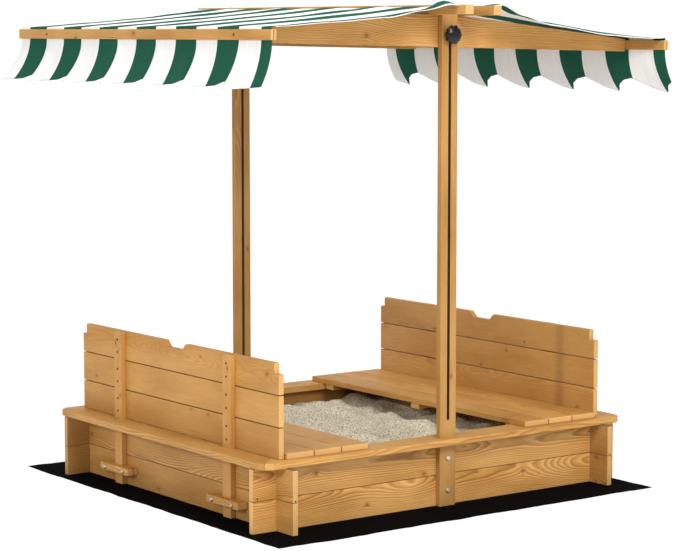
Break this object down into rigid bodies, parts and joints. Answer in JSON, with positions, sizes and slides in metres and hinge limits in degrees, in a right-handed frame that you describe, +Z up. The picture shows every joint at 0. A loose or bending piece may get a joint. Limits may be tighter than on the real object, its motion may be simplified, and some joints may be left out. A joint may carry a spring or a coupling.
{
  "type": "sandbox with cover",
  "caption": "Wooden sandbox with benches, lift-out backrests and a striped fabric canopy that slides down its slotted posts and tilts, to cover the sand.",
  "frame": {"origin": "on the ground at the middle of the box", "axes": "+X towards the right bench, +Y from the near side to the far side, +Z up; the canopy is at the top of its slots"},
  "size_m": [1.5966, 1.472, 1.5165],
  "materials": {
    "box_wood": "satin",
    "post_wood": "satin",
    "canopy_wood": "satin",
    "striped_fabric": "matte",
    "bolts": "satin",
    "screws": "satin",
    "knobs": "satin",
    "sand": "matte",
    "ground_sheet": "matte"
  },
  "bodies": {
    "box": {"corner_nails": "screws", "far_left_keeper": "box_wood", "far_lower_wall": "box_wood", "far_post": "post_wood", "far_right_keeper": "box_wood", "far_rim": "box_wood", "far_upper_wall": "box_wood", "ground_sheet": "ground_sheet", "keeper_bolts": "bolts", "left_lower_wall": "box_wood", "left_rim": "box_wood", "left_seat_cleats": "box_wood", "left_seat_inner_board": "box_wood", "left_seat_middle_board": "box_wood", "left_seat_outer_board": "box_wood", "left_upper_wall": "box_wood", "near_left_keeper": "box_wood", "near_lower_wall": "box_wood", "near_post": "post_wood", "near_right_keeper": "box_wood", "near_rim": "box_wood", "near_upper_wall": "box_wood", "post_bolts": "bolts", "right_lower_wall": "box_wood", "right_rim": "box_wood", "right_seat_cleats": "box_wood", "right_seat_inner_board": "box_wood", "right_seat_middle_board": "box_wood", "right_seat_outer_board": "box_wood", "right_upper_wall": "box_wood", "sand_bed": "sand"},
    "carriage": {"clamp_bolts": "bolts", "clamp_washers": "bolts"},
    "canopy": {"canopy_screws": "screws", "far_rail": "canopy_wood", "left_canopy_panel": "striped_fabric", "left_inner_end_bar": "canopy_wood", "left_outer_end_bar": "canopy_wood", "left_ridge_bar": "canopy_wood", "left_valance": "striped_fabric", "near_rail": "canopy_wood", "right_canopy_panel": "striped_fabric", "right_inner_end_bar": "canopy_wood", "right_outer_end_bar": "canopy_wood", "right_ridge_bar": "canopy_wood", "right_valance": "striped_fabric"},
    "near_knob": {"near_knob": "knobs"},
    "far_knob": {"far_knob": "knobs"},
    "left_backrest": {"left_backrest_far_batten": "box_wood", "left_backrest_lower_board": "box_wood", "left_backrest_middle_board": "box_wood", "left_backrest_near_batten": "box_wood", "left_backrest_screws": "screws", "left_backrest_upper_board": "box_wood"},
    "right_backrest": {"right_backrest_far_batten": "box_wood", "right_backrest_lower_board": "box_wood", "right_backrest_middle_board": "box_wood", "right_backrest_near_batten": "box_wood", "right_backrest_screws": "screws", "right_backrest_upper_board": "box_wood"}
  },
  "joints": [
    {"name": "canopy_height", "type": "slide", "parent": "box", "child": "carriage", "axis": [0, 0, 1], "range_m": [-0.88, 0]},
    {"name": "canopy_tilt", "type": "hinge", "parent": "carriage", "child": "canopy", "pos_m": [0, 0, 1.428], "axis": [0, 1, 0], "range_deg": [-1.32, 24]},
    {"name": "near_knob_turn", "type": "hinge", "parent": "carriage", "child": "near_knob", "pos_m": [0, -0.568, 1.428], "axis": [0, 1, 0], "continuous": true},
    {"name": "far_knob_turn", "type": "hinge", "parent": "carriage", "child": "far_knob", "pos_m": [0, 0.568, 1.428], "axis": [0, 1, 0], "continuous": true},
    {"name": "left_backrest_lift", "type": "slide", "parent": "box", "child": "left_backrest", "axis": [0, 0, 1], "range_m": [0, 0.25]},
    {"name": "right_backrest_lift", "type": "slide", "parent": "box", "child": "right_backrest", "axis": [0, 0, 1], "range_m": [0, 0.25]}
  ]
}
